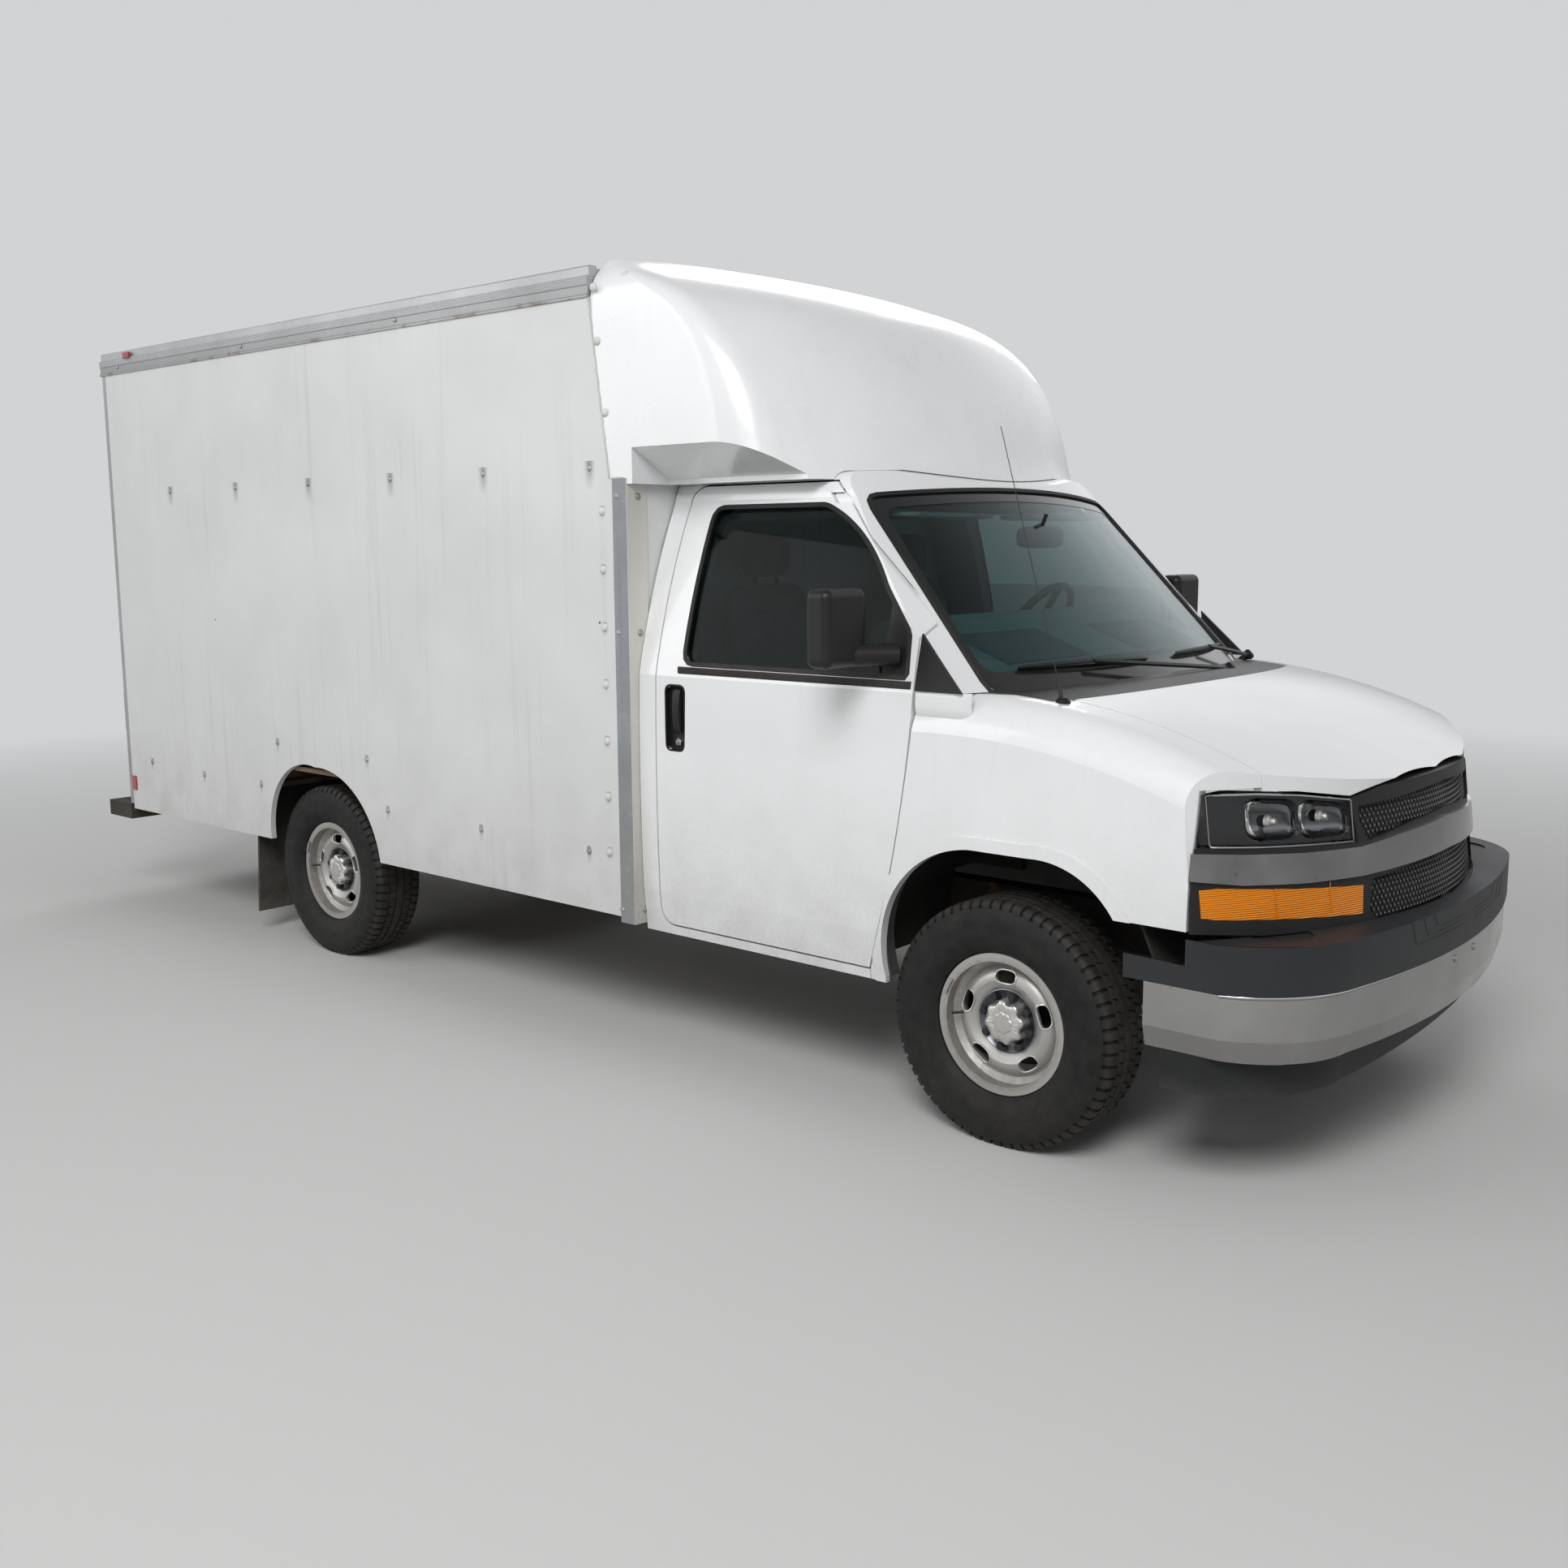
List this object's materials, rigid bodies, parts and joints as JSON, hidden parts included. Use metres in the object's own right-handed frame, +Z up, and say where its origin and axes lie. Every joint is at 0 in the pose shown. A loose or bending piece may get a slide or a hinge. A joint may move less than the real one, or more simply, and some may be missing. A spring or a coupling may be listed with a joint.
{
  "type": "box truck",
  "caption": "Light box truck: van cab with opening doors and hood, steered and rolling wheels, hollow cargo box with roll-up rear door, and a rounded wind fairing over the cab.",
  "frame": {"origin": "on the ground at the middle of the vehicle's length and width", "axes": "+X forward, +Y to the driver's side (left), +Z up"},
  "size_m": [6.57, 2.5, 2.822],
  "materials": {
    "white_paint": "gloss white paint",
    "fairing_white": "gloss gel coat",
    "wall_panel": "light grey-white panel with fine pits",
    "door_panel": "satin white",
    "roof_sheet": "mill finish sheet",
    "rail_aluminium": "weathered extrusion",
    "frame_black": "satin black chassis paint",
    "hub_iron": "lightly rusted casting",
    "engine_grey": "machined and cast surfaces",
    "exhaust_steel": "aluminised steel with brown rust",
    "tank_plastic": "moulded plastic",
    "bumper_chrome": "chrome plate, road film",
    "pad_plastic": "grained dark plastic",
    "black_plastic": "grained black plastic",
    "lamp_clear": "clear lens",
    "lamp_amber": "amber lens",
    "lamp_red": "red lens",
    "window_glass": "tinted safety glass",
    "dash_plastic": "grained soft plastic",
    "floor_mat": "moulded rubber mat",
    "seat_cloth": "woven cloth",
    "deck_wood": "laminated hardwood",
    "tyre_rubber": "worn rubber",
    "wheel_silver": "silver wheel paint",
    "flap_rubber": "flat rubber"
  },
  "bodies": {
    "chassis": {"chassis_frame": "frame_black", "cab_mounts": "frame_black", "engine_block": "engine_grey", "front_suspension": "frame_black", "rear_axle": "frame_black", "exhaust": "exhaust_steel", "fuel_tank": "tank_plastic", "front_bumper": "bumper_chrome", "bumper_pad": "pad_plastic", "air_dam": "pad_plastic", "grille": "black_plastic", "grille_bar": "bumper_chrome", "headlamps": "lamp_clear", "turn_lamps": "lamp_amber", "fenders": "white_paint", "cowl": "black_plastic", "cab_shell": "white_paint", "cab_floor": "floor_mat", "windshield": "window_glass", "dashboard": "dash_plastic", "steering_wheel": "black_plastic", "seats": "seat_cloth", "box_floor": "deck_wood", "box_sides": "wall_panel", "box_roof": "roof_sheet", "box_front_wall": "wall_panel", "box_rails": "rail_aluminium", "nose_cone": "fairing_white", "rear_frame": "rail_aluminium", "rear_door": "door_panel", "rear_bumper": "frame_black", "mud_flaps": "flap_rubber", "tail_lamps": "lamp_red", "radiator": "frame_black", "wheel_liners": "black_plastic", "box_posts": "rail_aluminium", "door_tracks": "rail_aluminium"},
    "steer_left": {"knuckle_left": "hub_iron"},
    "steer_right": {"knuckle_right": "hub_iron"},
    "door_left": {"door_left": "white_paint", "door_glass_left": "window_glass", "mirror_left": "black_plastic"},
    "door_right": {"door_right": "white_paint", "door_glass_right": "window_glass", "mirror_right": "black_plastic"},
    "hood": {"hood": "white_paint"},
    "front_left_wheel": {"tyre_front_left": "tyre_rubber", "wheel_front_left": "wheel_silver"},
    "front_right_wheel": {"tyre_front_right": "tyre_rubber", "wheel_front_right": "wheel_silver"},
    "rear_left_wheel": {"tyre_rear_left": "tyre_rubber", "wheel_rear_left": "wheel_silver"},
    "rear_right_wheel": {"tyre_rear_right": "tyre_rubber", "wheel_rear_right": "wheel_silver"}
  },
  "joints": [
    {"name": "steer_left", "type": "hinge", "parent": "chassis", "child": "steer_left", "pos_m": [2.219, 0.745, 0.381], "axis": [0, 0, 1], "range_deg": [-35, 35]},
    {"name": "front_left_spin", "type": "hinge", "parent": "steer_left", "child": "front_left_wheel", "pos_m": [2.219, 0.855, 0.381], "axis": [0, 1, 0], "continuous": true},
    {"name": "rear_left_spin", "type": "hinge", "parent": "chassis", "child": "rear_left_wheel", "pos_m": [-1.312, 0.881, 0.381], "axis": [0, 1, 0], "continuous": true},
    {"name": "door_left", "type": "hinge", "parent": "chassis", "child": "door_left", "pos_m": [1.929, 1.008, 1], "axis": [0, 0, -1], "range_deg": [0, 65]},
    {"name": "steer_right", "type": "hinge", "parent": "chassis", "child": "steer_right", "pos_m": [2.219, -0.745, 0.381], "axis": [0, 0, 1], "range_deg": [-35, 35]},
    {"name": "front_right_spin", "type": "hinge", "parent": "steer_right", "child": "front_right_wheel", "pos_m": [2.219, -0.855, 0.381], "axis": [0, 1, 0], "continuous": true},
    {"name": "rear_right_spin", "type": "hinge", "parent": "chassis", "child": "rear_right_wheel", "pos_m": [-1.312, -0.881, 0.381], "axis": [0, 1, 0], "continuous": true},
    {"name": "door_right", "type": "hinge", "parent": "chassis", "child": "door_right", "pos_m": [1.929, -1.008, 1], "axis": [0, 0, 1], "range_deg": [0, 65]},
    {"name": "hood_lift", "type": "hinge", "parent": "chassis", "child": "hood", "pos_m": [2.369, 0, 1.372], "axis": [0, -1, 0], "range_deg": [0, 50]}
  ],
  "couplings": [
    {"joint": "steer_right", "follows": "steer_left", "ratio": 1}
  ]
}
